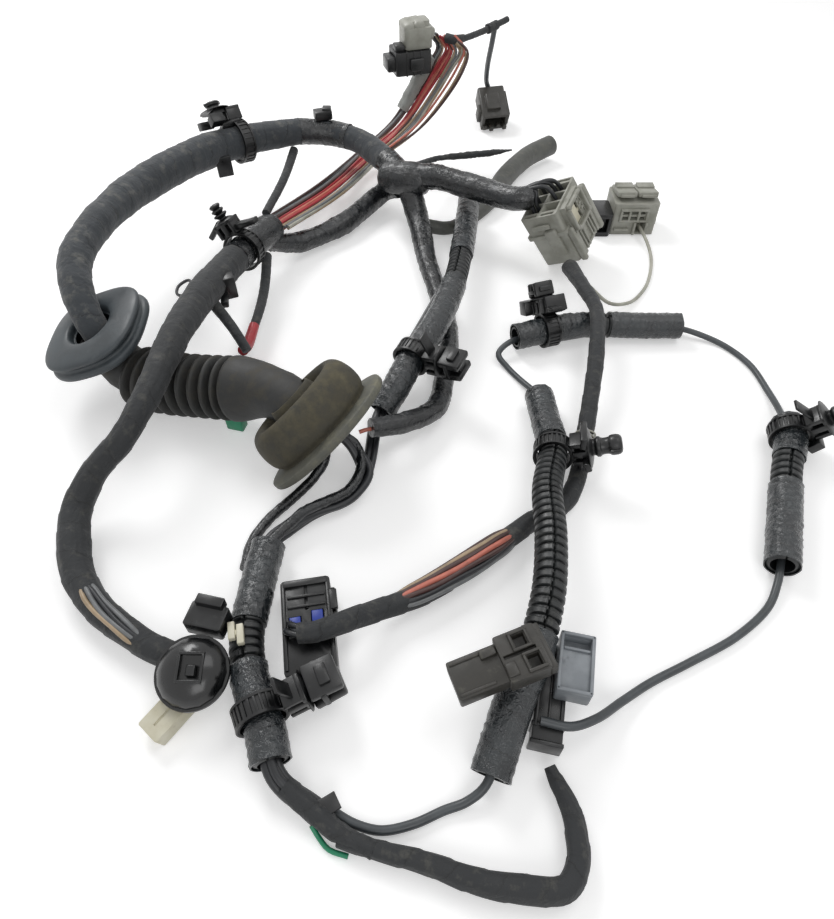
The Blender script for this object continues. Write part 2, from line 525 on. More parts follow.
for index, (name, spec) in enumerate(bundles.items()):
    thin = max(spec["radii"]) < 4
    shallow = thin or not spec["wires"]
    relief = tapedRelief(
        10 * index, wires=max(spec["wires"], 1), wireDeep=0.12 if shallow else 0.3, wrap=7 if thin else 11,
        wrapDeep=0.12 if shallow else 0.32, lump=0.02 if thin else spec.get("lump", 0.035),
        crease=spec.get("crease", 0.3 if spec["finish"] == "vinylTape" else 0.0))
    tube(name, spec["route"], spec["radii"], spec["finish"], (spec["node"],), sides=18 if thin else 32,
         step=1.4, relief=relief)


def section(spec, start, end, grow, count=24):  # rows along part of a branch, with the radii there
    route = routeOf(spec["route"])
    distance = np.linspace(start, end, count)
    return readRoute(route, distance)[0].tolist(), (radiusAt(route, spec["radii"], distance) + grow).tolist()


def overWrap(name, key, start, end, grow, finish, seed):  # a band of other tape over a trunk or branch
    rows, radii = section(bundles[key], start, end, grow)
    tube(name, rows, radii, finish, (bundles[key]["node"],), sides=32, step=1.2,
         relief=tapedRelief(seed, wires=7, wireDeep=0.2, wrap=12, wrapDeep=0.3, lump=0.02, crease=0.35))


# wires that show on a branch, turning slowly round its line and diving under the tape at both ends
def strands(name, key, start, end, finishes, first, spread, radius=1.15, sink=0.3, twist=0.6, count=9, dive=1.6):
    spec = bundles[key]
    route = routeOf(spec["route"])
    distance = np.linspace(start, end, count)
    place, _, side, up = readRoute(route, distance)
    wide = radiusAt(route, spec["radii"], distance) - sink
    wide = wide - dive * radius * np.abs(np.linspace(-1, 1, count)) ** 6
    for index, finish in enumerate(finishes):
        swing = twist * np.linspace(-0.5, 0.5, count) + 0.05 * np.sin(distance * 0.2 + 2 * index)
        angle = radians(first + spread * index) + swing
        rows = place + side * (wide * np.cos(angle))[:, None] + up * (wide * np.sin(angle))[:, None]
        tube(f"{name}{index}", rows.tolist(), [radius, radius], finish, (spec["node"],), sides=10, step=2)


tube("tailTape", [[-45, -260.5, 6.6], [-39, -264.6, 5], [-32, -269.5, 4.4], [-26, -274, 4], [-14, -279, 4.4]],
     [4.4, 4.5, 4.4, 3.9, 3.6], "clothTape", ("conduit_bundle", "lamp_branch"), sides=24, step=1.2,
     relief=tapedRelief(210, wires=5, wireDeep=0.3, wrap=8, wrapDeep=0.3, lump=0.08, crease=0.5))
overWrap("upperBand", "upperTrunk", 62, 98, 0.35, "vinylTape", 201)
overWrap("upperEndBand", "upperTrunk", 2, 22, 0.3, "vinylTape", 202)
overWrap("leftBand", "leftTrunk", 290, 318, 0.3, "vinylTape", 203)
strands("leftWire", "leftTrunk", 26, 62, ("beigeJacket", "greyWire", "blackJacket", "greyWire"), -116, 17, 1.0)
strands("crossWire", "crossBranch", 42, 104,
        ("brownJacket", "beigeJacket", "brownJacket", "salmonJacket", "brownJacket",
                                               "blackJacket", "greyWire"), -152, 22, 1.2)
tube("topJoin", [[20.5, 205.6, 84.2], [26, 203, 84], [33, 208.4, 83.2]], [3.1, 3, 2.5], "clothTape",
     ("top_branch",), sides=16, step=1.2)
overWrap("topJoint", "topBranch", 36, 46, 1.3, "clothTape", 204)
tube("redWireEnd", [[-19, -104.8, 17], [-24, -106.8, 18], [-27.5, -108, 17.6]], [1, 1], "salmonJacket",
     ("centre_branch",), sides=10, step=0.8)
print("trunks and branches ready")

# split conduits with their taped stretches
loom = {"crest": 6.7, "root": 5.5, "bore": 4.8, "pitch": 3.8, "tape": 0.7}
conduits = {
    "centreConduit": {
        "node": "conduit_centre", "parts": [("tape", 0.36), ("ribs", 0.14), ("tape", 0.5)],
        "route": [[36, 109, 18.5], [29, 50, 19.5], [21, 3, 21.5], [9, -37, 23], [-3, -61, 21.5], [-10, -74, 16],
                  [-18, -86, 9.5]]},
    "lowerConduit": {
        "node": "conduit_lower", "parts": [("tape", 0.4), ("ribs", 0.2), ("tape", 0.4)],
        "route": [[-64, -165, 7.8], [-66, -190, 7.8], [-66, -208, 8.6], [-62, -224, 9.9], [-54, -242, 9.9],
                  [-50, -254, 9.4]]},
    "longConduit": {
        "node": "conduit_long", "parts": [("tape", 0.27), ("ribs", 0.54), ("tape", 0.19)],
        "route": [[25, -258, 8.2], [33.7, -236, 13], [42.5, -219, 18.5], [50.5, -196, 22], [54.8, -170, 22.5],
                  [57, -144, 19.5], [64, -116, 14.5], [64, -93, 10], [63.5, -73, 7.8]]},
    "upperConduit": {
        "node": "conduit_upper", "parts": [("tape", 0.47), ("ribs", 0.11), ("tape", 0.42)],
        "route": [[55, -29, 9.9], [82, -20, 9.9], [105, -16, 8.4], [128, -16, 7.6], [151, -16, 7.6]]},
    "rightConduit": {
        "node": "conduit_right", "parts": [("tape", 0.28), ("ribs", 0.2), ("tape", 0.52)],
        "route": [[184, -94, 9.9], [181, -108, 9.9], [174, -123, 9], [165, -147, 7.6], [154, -175, 7.6]]},
}


def loomProfile(length):  # ribs all the way, rounded at their crests, and the bore
    rows = []
    count = int(length / loom["pitch"])
    pitch = length / count
    for i in range(count):
        for share, radius in ((0.02, loom["root"]), (0.16, loom["root"]), (0.24, loom["crest"] - 0.25),
                              (0.32, loom["crest"]), (0.76, loom["crest"]), (0.84, loom["crest"] - 0.25),
                              (0.92, loom["root"])):
            rows.append((radius, (i + share) * pitch))
    inner = [(loom["bore"], length * k / 40) for k in range(40, -1, -1)]
    return rows + inner + rows[:1]


slit = {"lean": 0.1, "lipTall": 0.3, "lipAt": 0.14, "lipWide": 0.06, "deep": 1.5, "wide": 0.07}


def slitRelief(distance, angle, radius):  # the slit along the loom's upper side, where its two lips meet
    turn = (angle + pi / 2 - slit["lean"] + pi) % tau - pi
    lips = slit["lipTall"] * np.exp(-((np.abs(turn) - slit["lipAt"]) / slit["lipWide"]) ** 2)
    cleft = slit["deep"] * np.exp(-(turn / slit["wide"]) ** 2)
    return radius + (lips - cleft) * (radius > loom["bore"] + 0.1), angle


def tapeRelief(seed):  # tape pulled over ribs: faint ribs, spiral edges and small creases
    def relief(distance, angle, radius):
        ribs = 0.1 * np.cos(distance * tau / loom["pitch"])
        turns = (distance / 10 + angle / tau + 0.3 * waves(distance, 0, 50, seed, 0)) % 1.0
        folds = 0.4 * np.abs(waves(distance, angle, 7, seed + 1, 5)) + 0.22 * np.abs(waves(distance, angle, 3.4,
                                                                                           seed + 2, 9))
        outside = radius > loom["crest"] + 0.3
        return np.where(outside, radius + ribs + 0.2 * turns - folds, radius), angle
    return relief


for index, (name, spec) in enumerate(conduits.items()):
    route = routeOf(spec["route"])
    finishPiece(name, swept(name, loomProfile(route["length"]), 72, route, slitRelief), "conduit",
                (spec["node"],), 35)
    start = 0
    for number, (kind, share) in enumerate(spec["parts"]):
        end = start + share * route["length"]
        if kind == "tape":
            heights = np.linspace(start, end, int((end - start) / 1.1) + 2)
            inner, outer = loom["crest"] + 0.05, loom["crest"] + loom["tape"]
            rows = [(inner, start), *((outer, height) for height in heights), (inner, end), (inner, start)]
            mesh = swept(name, rows, 44, route, tapeRelief(100 + 10 * index + number))
            finishPiece(f"{name}Tape{number}", mesh, "loomTape", (spec["node"],), 60)
        start = end
print("conduits ready")

# rubber boot: bellows and cone on the trunk's line, and a flange at each end
boot = {"crest": 15, "root": 12.4, "pitch": 6.4, "count": 9, "start": 30, "neck": 11.4, "valley": 9.6,
        "cone": 16.2, "flangeLeft": 27, "squareness": 2.7, "flangeLong": 35, "flangeShort": 25}
leftFlange = poseOf((-161, -57, 36), (-0.35, -0.1, 0.93), (1, 0, 0))
rightFlange = poseOf((-45.6, -111.5, 28), (0.68, -0.27, -0.68), (-0.69, -0.55, -0.46))


def roundOff(points, turns=3):  # cuts the corners of a profile so that its edges are soft
    for _ in range(turns):
        cutPoints = [points[0]]
        for (ra, ha), (rb, hb) in zip(points, points[1:]):
            cutPoints += [(0.75 * ra + 0.25 * rb, 0.75 * ha + 0.25 * hb),
                          (0.25 * ra + 0.75 * rb, 0.25 * ha + 0.75 * hb)]
        points = cutPoints + [points[-1]]
    return points


def bellows():
    route = routeOf(bootRoute)
    rows = [(boot["neck"] - 2, 2), (boot["neck"], 2), (boot["neck"], 13.5), (boot["root"], 26)]
    for i in range(boot["count"]):
        s = boot["start"] + i * boot["pitch"]
        rows += [(boot["valley"], s), (boot["crest"] - 0.4, s + 1.7), (boot["crest"] + 1, s + 2.7),
                 (boot["crest"] + 1, s + 3.9), (boot["crest"] - 0.4, s + 4.8)]
    s = boot["start"] + boot["count"] * boot["pitch"]
    rows += [(boot["valley"], s), (boot["cone"], s + 1.5), (boot["cone"], s + 5), (boot["neck"] + 2.4, s + 17),
             (boot["neck"] + 0.6, s + 27), (boot["neck"], route["length"] - 4),
             (boot["neck"] - 2, route["length"] - 4)]
    mesh = swept("bellows", roundOff(rows, 1), 48, route,
                 lambda distance, angle, radius: (radius * (1 + 0.012 * waves(distance, angle, 60, 5, 2)),
                                                  angle))
    finishPiece("bootBellows", mesh, "rubber", ("boot",), 70)


def flangeMesh(rows, power=None, squash=1.0, steps=96):
    bm = bmesh.new()
    turned(bm, roundOff(rows, 2), steps)
    for vert in bm.verts:
        r = vert.co.xy.length
        if power and r > boot["neck"] + 2:
            c, s = abs(vert.co.x / r), abs(vert.co.y / r)
            vert.co.xy *= 1 / (c ** power + s ** power) ** (1 / power)
        vert.co.y *= squash
    return meshOf(bm, "flange")


def bootFlanges():
    r = boot["flangeLeft"]
    neck = boot["neck"]
    rows = [(neck - 1, -8.8), (neck, -9), (r - 5, -6), (r, -5), (r, -1.5), (r - 2.6, -0.6), (r - 2.6, 1.4),
            (r - 0.8, 2.2), (r - 0.8, 4), (r - 3, 5.2), (r * 0.52, 6.8), (neck + 0.4, 5.2), (neck + 0.2, 2.5),
            (neck - 1, 2.5)]
    finishPiece("bootLeftFlange", flangeMesh(rows, boot["squareness"]), "capRubber", ("boot",), 60, leftFlange)
    r = boot["flangeLong"]
    squash = boot["flangeShort"] / r
    rows = [(neck - 1, -18), (neck, -18), (neck + 1.5, -11), (r - 19, -10), (r - 16, -15), (r - 12, -17),
            (r - 8, -14), (r - 6, -7), (r - 6.4, 0), (r - 8.5, 2.6), (r - 8.5, 4), (r - 10.5, 4.4),
            (r - 10.5, 2), (r - 12.5, -4), (r - 15, -7.4), (neck, -8), (neck - 1, -9), (neck - 1, -18)]
    finishPiece("bootBell", flangeMesh(rows, None, squash), "dustyRubber", ("boot",), 60, rightFlange)
    rows = [(r - 9.6, 3.4), (r - 7.5, 3.4), (r - 0.4, 4.4), (r, 5), (r, 7.6), (r - 2, 8.6), (r - 4.5, 8.6),
            (r - 4.5, 6.2), (r - 9.6, 5), (r - 9.6, 3.4)]
    finishPiece("bootRim", flangeMesh(rows, None, squash), "rimRubber", ("boot",), 60, rightFlange)


bellows()
bootFlanges()
print("boot ready")


# junction wraps
def wrapPiece(name, node, rows, matrix, seed):
    bm = bmesh.new()
    turned(bm, roundOff(rows, 3), 40)
    mesh = meshOf(bm, name)
    layOut(mesh)
    co = coordinates(mesh)
    radius, angle = np.hypot(co[:, 0], co[:, 1]), np.arctan2(co[:, 1], co[:, 0])
    relief = tapedRelief(seed, wires=9, wireDeep=0.3, wrap=12, wrapDeep=0.4, lump=0.03, crease=0.35)
    grown = np.where(radius > 0.1, relief(co[:, 2], angle, radius)[0], radius)
    co = np.stack([grown * np.cos(angle), grown * np.sin(angle), co[:, 2]], 1)
    mesh.vertices.foreach_set("co", co.ravel())
    finishPiece(name, mesh, "vinylTape", (node,), 60, matrix)


wrapPiece("leftWrap", "junction_wrap_left", [(0, -15), (8.8, -15), (10.4, -8), (10.4, 8), (8.6, 15), (0, 15)],
          poseOf((-96.5, 49, 26), (0.45, 0.87, -0.1), (0, 0, 1)), 300)
wrapPiece("centreWrap", "junction_wrap_centre",
          [(0, -18), (8.6, -18), (11.2, -9), (11.6, 6), (9.4, 17), (0, 17)],
          poseOf((-8, 108, 32), (0.9, -0.35, 0.1), (0, 0, 1)), 310)

# the wires inside the conduits, and the open wires
innerRoute = [*conduits["centreConduit"]["route"], [-21, -98, 8], [-24, -123, 6], [-31, -136, 4.5],
              [-46, -144, 4.5], [-57, -155, 6], *conduits["lowerConduit"]["route"], [-46, -260, 6.6],
              [-39, -264, 4.6], [-31, -269, 4.4]]
bundles["innerBundle"] = {"node": "conduit_bundle", "route": innerRoute, "radii": [3.3, 3.3]}
innerLength = routeOf(innerRoute)["length"]
strands("innerLead", "innerBundle", 0, innerLength, ["blackJacket"] * 4, first=20, spread=90, radius=1.75,
        sink=1.3, twist=2.4, count=60, dive=0)

openRoute = [[-89.2, 63.2, 24.4], [-60, 119, 18], [-34, 183, 14], [-11, 200, 27], [4, 206, 45], [17, 205, 66],
             [23, 208, 76], [18, 208, 84]]
openShades = [("brownJacket", "blackJacket", "greyWire"), ("greyWire", "brownJacket", "beigeJacket"),
              ("redJacket", "redJacket", "salmonJacket"), ("salmonJacket", "redJacket", "brownJacket"),
              ("beigeJacket", "greyWire", "salmonJacket"), ("greyWire", "whiteJacket", "beigeJacket")]
for index, shades in enumerate(openShades):
    across = (index - 2.5) * 3.9
    for part, (shade, shift, rise) in enumerate(zip(shades, (-1.25, 1.25, 0.0), (0.4, 0.1, -1.0))):
        rows = []
        for k, (x, y, z) in enumerate(openRoute):
            leanX, leanY = (0.83, -0.43) if k == 0 else (0.8, -0.6)
            loose = np.sin(1.9 * k + 2.3 * index + 4.1 * part) * (0 < k < 7)
            here = across + shift * (0.6 + 0.5 * loose) + 0.5 * loose
            rows.append([x + here * leanX, y + here * leanY, z + index % 2 + rise + 0.6 * loose])
        tube(f"openWire{index}{'abc'[part]}", rows, [0.98, 0.98], shade, (f"open_wire_{index + 1}",), sides=10,
             step=2.4)
# slack loops beside the open wires
for index, (bulge, shade) in enumerate(((7, "beigeJacket"), (10, "brownJacket"), (5, "salmonJacket"))):
    rows = []
    for k, (x, y, z) in enumerate(openRoute[2:]):
        out = 10 + bulge * np.sin(pi * min(k, 5) / 5)
        rows.append([x + out * 0.8, y - out * 0.6, z + 1.5 * index])
    tube(f"slackWire{index}", rows, [0.9, 0.9], shade, ("open_wire_6",), sides=10, step=2.4)
tube("wireSleeve", [[10, 211, 71], [4, 211, 60], [-4, 210, 47], [-11, 206, 36]], [5, 6.4, 6, 4.8], "greySleeve",
     ("open_wire_1",), sides=24, step=1.2,
     relief=tapedRelief(340, wires=5, wireDeep=0.5, wrap=9, wrapDeep=0.2, lump=0.1, crease=0.6))
tube("tapeTail", [[-4, 118, 34], [4, 138, 28], [16, 153, 24], [38, 154, 26], [56, 158, 26], [69, 161.6, 26]],
     [3, 2.6, 2.2, 3, 2.6, 0.8], "clothTape", ("junction_wrap_centre",), sides=16, step=1.4,
     relief=tapedRelief(350, wires=3, wireDeep=0.4, wrap=7, wrapDeep=0.2, lump=0.1, crease=0.6))
tube("tieLoop", [[-116, -8, 30], [-127, -9, 24], [-136.7, -4.9, 21], [-138, 3, 21], [-133.5, 7.5, 22],
                 [-128, 2, 24], [-115, -1, 32]], [0.9, 0.9], "blackJacket", ("trunk_left",), sides=12, step=1.5)
tube("redSleeve", [[-93.4, -47, 15.6], [-92.8, -38, 12.4], [-91.2, -24, 14.2]], [2.9, 3.1, 2.8], "redJacket",
     ("spur_branch_lower",), sides=18, step=1.4)
thread = {"from": 166, "to": 180, "pace": 2.6, "loose": 0.9, "out": 4.9}  # wound round the cross branch
distance = np.linspace(thread["from"], thread["to"], 60)
place, _, side, up = readRoute(routeOf(bundles["crossBranch"]["route"]), distance)
turn = distance * thread["pace"] + thread["loose"] * np.sin(distance)
rows = place + thread["out"] * (side * np.cos(turn)[:, None] + up * np.sin(turn)[:, None])
tube("whiteThread", rows.tolist(), [0.5, 0.5], "whiteJacket", ("cross_branch",), sides=8, step=0.9)
# wires of the cross branch in the lock plug's top
for k, (x, y) in enumerate(((-1.2, -1.6), (1.4, -1), (0.2, 1.4))):
    rows = [[-50 + x, -204 + y, 10.6], [-48 + x, -207 + y, 15], [-42 + x, -209 + y, 16.6], [-35, -208 + y, 16]]
    tube(f"lockWire{k}", rows, [1.2, 1.2], "blackJacket", ("cross_branch",), sides=10, step=1.2)
gridPose = poseOf((79.5, 62.4, 42.3), (0.56, -0.013, -0.829), (0.71, -0.509, 0.488))
for index, (across, along) in enumerate(((-5.9, -8.6), (-5.9, 0.3), (-5.9, 8.9), (5.9, -8.8), (5.9, 0.2),
                                         (-3.4, 7), (3.6, -6.4))):
    lean = 1.4 * np.sin(2.1 * index)
    rows = [[59 + lean, 66 - lean, 43.5 + lean]] + [
        list(gridPose @ Vector((across * share, along * share + lean * (1 - share), height)))
        for share, height in ((0.55, -9), (0.9, -4.5), (1, 2), (1, 9))]
    tube(f"gridWire{index}", rows, [1.25, 1.25], "blackJacket", ("connector_branch",), sides=10, step=1.4)
tube("stubBore", [[101.4, 199.6, 10.8], [104.5, 202.5, 11.05]], [4.9, 4.9], "blackJacket", ("conduit_stub",),
     sides=24, step=1.2)
for rise in range(2):  # two more black leads beside those from the bell
    rows = [[-40 + 3 * rise, -114, 24], [-30, -115 - 3 * rise, 16], [-22 - 4 * rise, -126, 10 - 3 * rise],
            [-30, -139, 6.4], [-46, -147, 6.2], [-58, -157, 5.4 + 3 * rise], [-63, -163, 6.6 + 2 * rise]]
    tube(f"bellLead{rise}", rows, [1.9, 1.9], "blackJacket", ("boot_lead_1",), sides=14, step=1.6)
print("wires ready")


# plugs and sockets: the solids' own shapes with softened edges, and the details that sit on them
def softened(name, node, finish, width, extra=None, matrix=None):
    bm = bmesh.new()
    bm.from_mesh(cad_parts[node].data)
    bmesh.ops.transform(bm, matrix=toMetres.inverted(), verts=bm.verts)
    weld, flatBelow, sharpAbove = 0.002, radians(1.5), radians(28)
    bmesh.ops.remove_doubles(bm, verts=bm.verts, dist=weld)
    bmesh.ops.dissolve_limit(bm, angle_limit=flatBelow, verts=bm.verts, edges=bm.edges)
    edges = [edge for edge in bm.edges if len(edge.link_faces) == 2 and edge.calc_face_angle(0) > sharpAbove]
    bmesh.ops.bevel(bm, geom=edges, offset=width, segments=2, profile=0.5, affect="EDGES", material=-1,
                    clamp_overlap=True)
    if extra:
        local = bmesh.new()
        extra(local)
        bmesh.ops.transform(local, matrix=matrix, verts=local.verts)
        bm.from_mesh(meshOf(local, name + "Extra", False))
    return finishPiece(name, meshOf(bm, name, False), finish, (node,), 30)


def gridExtra(bm):  # raised latch frame with a slotted strip, louvres, long guide rails and a top handle
    side = 12.5
    for y in (-8.2, 10.2):
        block(bm, 3.4, 2, 15, (side + 4.4, y, 4), 0.8)
    for z in (2.4, 18.6):
        block(bm, 3.4, 16, 2, (side + 4.4, 1, z), 0.8)
    for y, z in ((-7.4, 3), (9.4, 3), (-7.4, 18), (9.4, 18)):
        block(bm, 3.4, 3, 3, (side + 4.4, y, z - 0.4), 0.9, Matrix.Rotation(radians(45), 4, "X"))
    block(bm, 1.6, 3.6, 14, (side + 2.4, -4, 4.4), 0.4)
    for z in (6, 9.6, 13.2):
        block(bm, 1.4, 2.2, 1.2, (side + 3.6, -4, z), 0.2)
    for y in (-6.4, -3.2, 3.4, 6.6):
        block(bm, 2.2, 1.3, 15, (side + 2.2, y, 21.4), 0.3)
    for z in (22, 34.6):
        block(bm, 2.2, 15, 1.4, (side + 2.2, 0.2, z), 0.3)
    block(bm, 4, 4.2, 33, (side + 2, -14.6, 6), 1.0)
    block(bm, 4, 3, 25, (side + 2, 13.6, 14), 0.8)
    block(bm, 8, 3.2, 20, (4, 17.4, 10), 1.0)
    block(bm, 12, 1.8, 3, (0, 18.2, 5), 0.6)
    for z in (10, 24):
        block(bm, 26.6, 1.2, 1.6, (0, -16.5, z), 0.4)


def pairExtra(bm):  # two flat ears leaning over the top, a framed window with ribs and a stepped foot
    lean = Matrix.Rotation(radians(-12), 4, "X")
    for side in (-1, 1):
        block(bm, 13, 19, 3.4, (side * 7, 1.5, 22.6), 0.8, lean)
        block(bm, 9, 3, 2, (side * 7, -7.4, 24.4), 0.5, lean)
    for z in (9.6, 17.4):
        block(bm, 19, 2, 1.6, (-1, -12.6, z), 0.4)
    for x in (-9.8, -4, 2, 7.8):
        block(bm, 1.5, 2.2, 8, (x, -12.4, 10), 0.3)
    block(bm, 1.6, 3.4, 9, (0.6, -13, 0.8), 0.4)
    block(bm, 1.6, 3.4, 9, (8.4, -13, 0.8), 0.4)
    block(bm, 10, 3, 1.6, (-8, -12.8, 3.6), 0.5)
    for side in (-1, 1):
        block(bm, 2.4, 16, 4, (side * 15.4, 0, 5), 0.7)


def sideExtra(bm):  # raised frames round the two holes, a notched step and a latch nib
    for x, y in ((9.9, 4.2), (11.9, -4.2)):
        for side in (-1, 1):
            block(bm, 7.2, 1.1, 1.6, (x, y + side * 3, 8.4), 0.3)
            block(bm, 1.1, 5.4, 1.6, (x + side * 3, y, 8.4), 0.3)
    block(bm, 6, 3.2, 2.2, (-2, 4.6, 6.4), 0.5)
    block(bm, 4, 5, 1.6, (3.4, -4.4, 8.2), 0.5)
    block(bm, 3, 17.4, 6, (17.2, 0, 1.2), 0.6)
    for y in (-5.6, 5.6):
        block(bm, 13, 1, 0.8, (-9.5, y, 6.6), 0.2)


def coverExtra(bm):  # an open tray: four thin walls
    for side in (-1, 1):
        block(bm, 1.3, 22.4, 2.6, (side * 5.8, 0, 7), 0.3)
        block(bm, 12.6, 1.3, 2.6, (0, side * 10.8, 7), 0.3)
    block(bm, 9.6, 1, 1.4, (0, 5.4, 7.1), 0.2)


def lockExtra(bm):  # rails, a stepped lip and a side latch
    for x in (-8.8, 8.8):
        block(bm, 1.3, 37, 1.5, (x, 0, 10.4), 0.3)
    for y in (-5, 7.6, 12):
        block(bm, 15, 1.1, 1.2, (0, y, 10.5), 0.25)
    block(bm, 18, 3, 2.6, (0, 18, 9.6), 0.5)
    block(bm, 2.6, 15, 8, (10.4, 8, 1), 0.6)
    block(bm, 4.6, 9, 2, (10, 9, 9.4), 0.5)


def longExtra(bm):  # ribs along the top and a lip at the mouth
    for x in (-4.4, 0, 4.4):
        block(bm, 1, 30, 1, (x, 2, 8.7), 0.2)
    for y in (-18.2, -12):
        block(bm, 12, 1.6, 9.6, (0, y, 0), 0.4)


def domeExtra(bm):  # the rim ring, and a raised frame with a key in the recess
    turned(bm, [(12.2, 0.2), (13.6, 0.2), (13.8, 1.2), (13.6, 2.2), (12.2, 2.4)], 64)
    for side in (-1, 1):
        block(bm, 9.6, 1.1, 2.6, (1, 1 + side * 4.9, 6.2), 0.3)
        block(bm, 1.1, 9, 2.6, (1 + side * 4.3, 1, 6.2), 0.3)
    block(bm, 3.4, 4, 2, (1, 0, 5.6), 0.4)


def topExtra(bm):  # stepped shell with a latch and side wings
    block(bm, 8, 14, 9, (-14.6, -1, 2.6), 1.2)
    block(bm, 7, 9, 5, (-9, -3, 14), 1.2)
    block(bm, 10, 3, 8, (2, -10.6, 3), 0.8)
    for x in (-5, 0, 5):
        block(bm, 1.2, 20.8, 15.6, (x, 0, -0.3), 0.3)


def hoodExtra(bm):  # rounded sloping folds over the wires
    for k, (x, z, lean) in enumerate(((-5, 8, -16), (1, 9, -4), (7, 6, 14))):
        block(bm, 8, 17, 8, (x, 0, z - k * 0.6), 2.4, Matrix.Rotation(radians(lean), 4, "Y"))


def dropExtra(bm):  # the lead's boss, a side plate and broken-edged lugs at the mouth
    turned(bm, roundOff([(0, -2.6), (3.6, -2.6), (4.4, -1), (4.4, 1), (0, 1)], 1), 24)
    block(bm, 2, 13, 22, (11.4, 0, 4), 0.6)
    for x, tall in ((-8, 3.4), (-2.6, 5), (3.4, 3), (8.4, 4.6)):
        block(bm, 3.6, 4, tall + 1.6, (x, -4, 25), 0.8)
    block(bm, 4, 12, 8, (-11.4, 0, 14), 0.8)


flat = (0, 0, 1)
plugs = (
    ("gridPlug", "grid_connector", "greyPlastic", 0.35, gridExtra, gridPose),
    ("gridRetainer", "grid_connector_retainer", "whitePlastic", 0.3),
    ("pairPlug", "pair_connector", "greyPlastic", 0.4, pairExtra, poseOf((147, 104, gap), flat, (1, 0, 0))),
    ("pairSocket", "pair_socket", "blackPlastic", 0.4),
    ("lockPlug", "lock_connector", "blackPlastic", 0.4, lockExtra,
     poseOf((-42.6, -203, gap), flat, (0.985, 0.17, 0))),
    ("blueLockLeft", "blue_lock_1", "bluePlastic", 0.3),
    ("blueLockRight", "blue_lock_2", "bluePlastic", 0.3),
    ("longSocket", "long_socket", "blackPlastic", 0.4, longExtra,
     poseOf((49.2, -229.5, gap), flat, (0.976, -0.217, 0))),
    ("socketCover", "socket_cover", "coverPlastic", 0.35, coverExtra,
     poseOf((58, -222, 9.6), flat, (0.976, -0.217, 0))),
    ("sidePlug", "side_plug", "darkPlastic", 0.35, sideExtra,
     poseOf((28.6, -227.4, 24.3), (-0.12, -0.05, 0.99), (0.93, 0.33, 0))),
    ("domePlug", "dome_plug", "capBlack", 0.5, domeExtra,
     poseOf((-82, -224, 13.6), (0, -0.25, 0.97), (1, 0, 0))),
    ("domeSocket", "dome_socket", "blackPlastic", 0.4),
    ("whitePlug", "white_connector", "whitePlastic", 0.35),
    ("whiteTerminals", "white_terminals", "whitePlastic", 0.3),
    ("topPlug", "top_connector", "blackPlastic", 0.5, topExtra, poseOf((-5, 201, 65), flat, (0.95, 0.3, 0))),
    ("topHood", "top_connector_hood", "greyPlastic", 0.5, hoodExtra,
     poseOf((-1, 203.5, 80.3), flat, (0.95, 0.3, 0))),
    ("dropPlug", "drop_connector", "darkPlastic", 0.4, dropExtra,
     poseOf((60.6, 273.6, 21.6), (0.15, -0.86, -0.49), (1, 0.1, 0))),
)
plugPieces = {name: softened(name, *spec) for name, *spec in plugs}
print("plugs ready")

# band clips: a toothed band, a box on its side, a washer and a push-in head
clips = {
    "centreClip": {"node": "clip_centre", "route": conduits["centreConduit"]["route"], "from": -34,
                   "side": (0.8, -0.5, 0.2), "inner": 7.4, "washer": 8, "head": 6, "long": 13, "kind": "jaws"},
    "lowerClip": {"node": "clip_lower", "route": conduits["lowerConduit"]["route"], "from": -18,
                  "side": (1, 0.1, 0.12), "inner": 7.4, "washer": 8, "head": 6.4, "long": 14, "kind": "jaws"},
    "longClip": {"node": "clip_long", "route": conduits["longConduit"]["route"], "from": -46,
                 "side": (0.84, -0.4, 0.36), "inner": 6.7, "washer": 9.5, "head": 4.8, "long": 15,
                 "kind": "capsule", "limbs": (((15, -7, -7), (3, 6, 15), 12), ((15, 5, -9), (3, 5, 12), -10))},
    "upperClip": {"node": "clip_upper", "route": conduits["upperConduit"]["route"], "from": 20,
                  "side": (-0.25, 0.6, 0.75), "inner": 7.4, "washer": 8, "head": 5.4, "long": 9, "kind": "jaws",
                  "limbs": (((14, -9, -9), (8, 8, 11), 10), ((13, 7, -3), (9, 7, 12), -8))},
    "rightClip": {"node": "clip_right", "route": conduits["rightConduit"]["route"], "from": 8,
                  "side": (0.7, 0.2, 0.68), "inner": 7.4, "washer": 9.5, "head": 4.6, "long": 11,
                  "kind": "capsule", "limbs": (((7, -9, -6), (7, 5, 13), 8),)},
    "trunkClip": {"node": "clip_trunk", "route": upperRoute, "from": 142, "side": (-0.1, 0.66, 0.75),
                  "inner": 10.9, "washer": 10, "head": 5, "long": 6, "lift": 10, "kind": "capsule",
                  "limbs": (((14, -7, 10), (6, 7, 9), 14), ((15, 7, 12), (5, 6, 9), -12))},
    "junctionClip": {"node": "clip_junction", "route": leftRoute, "from": -11, "side": (-0.5, 0.2, 0.84),
                     "inner": 9, "washer": 6, "head": 4.4, "long": 10, "kind": "tree",
                     "limbs": (((12, 12, -3), (3, 14, 6), 8), ((17, -9, -2), (3, 13, 3), -24))},
}
band = {"wide": 8, "thick": 1.6, "box": 12, "teeth": 26}


